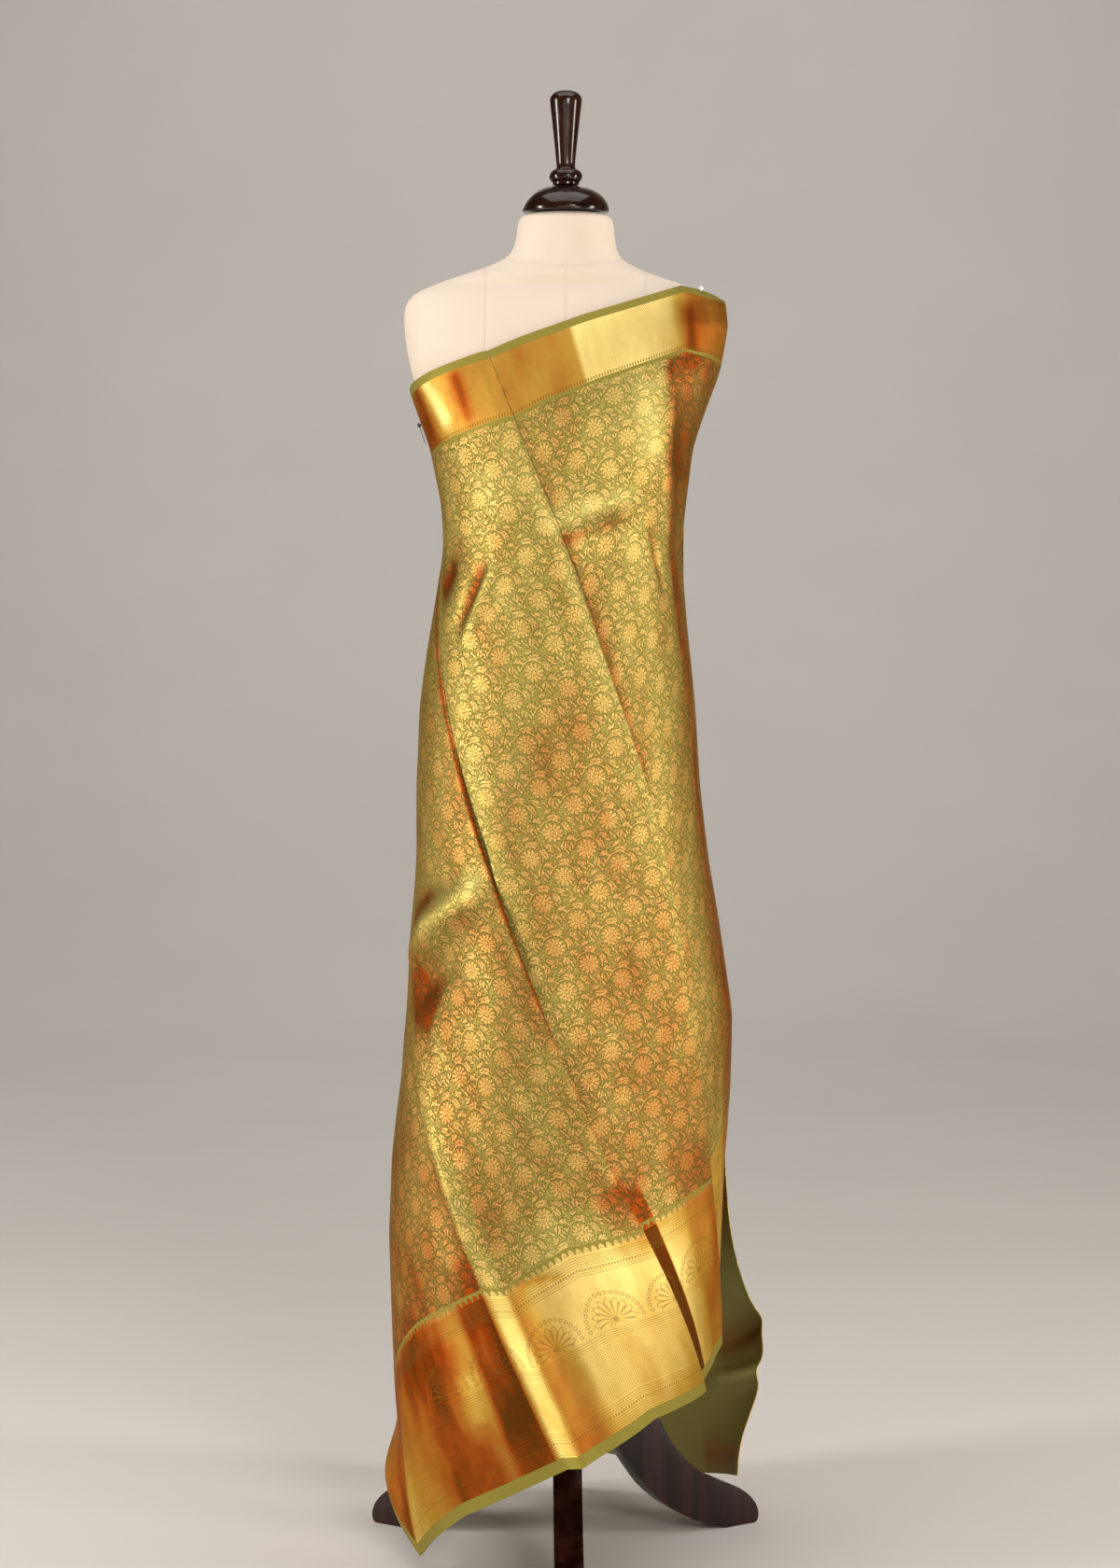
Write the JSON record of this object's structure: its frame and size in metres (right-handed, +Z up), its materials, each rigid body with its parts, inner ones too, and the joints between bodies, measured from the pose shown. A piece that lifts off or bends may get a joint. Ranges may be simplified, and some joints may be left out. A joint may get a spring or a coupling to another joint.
{
  "type": "silk saree on dress form",
  "caption": "Long brocade silk saree wrapped one-shouldered round a limbless dress form on a turned pole and tripod stand.",
  "frame": {"origin": "middle of the footprint, on the floor under the stand", "axes": "+Z up, the front of the saree faces -Y, the pinned shoulder is on the +X side"},
  "size_m": [0.462, 0.5048, 1.66],
  "materials": {
    "silk_body": "olive green silk satin with an all-over vine and flower pattern in gold thread",
    "zari_border": "close gold thread border with a green selvedge",
    "form_cloth": "plain off-white cotton cover, fine weave",
    "dark_wood": "very dark red-brown wood, high gloss lacquer"
  },
  "bodies": {
    "root": {"form_torso": "form_cloth", "neck_cap": "dark_wood", "neck_finial": "dark_wood", "stand_pole": "dark_wood", "stand_hub": "dark_wood", "leg_front": "dark_wood", "leg_right": "dark_wood", "leg_left": "dark_wood", "saree_back_top_border": "zari_border", "saree_back_body": "silk_body", "saree_back_hem_border": "zari_border", "saree_front_left_top_border": "zari_border", "saree_front_left_body": "silk_body", "saree_front_left_hem_border": "zari_border", "saree_front_middle_top_border": "zari_border", "saree_front_middle_body": "silk_body", "saree_front_middle_hem_border": "zari_border", "saree_right_side_top_border": "zari_border", "saree_right_side_body": "silk_body", "saree_right_side_hem_border": "zari_border"}
  },
  "joints": []
}
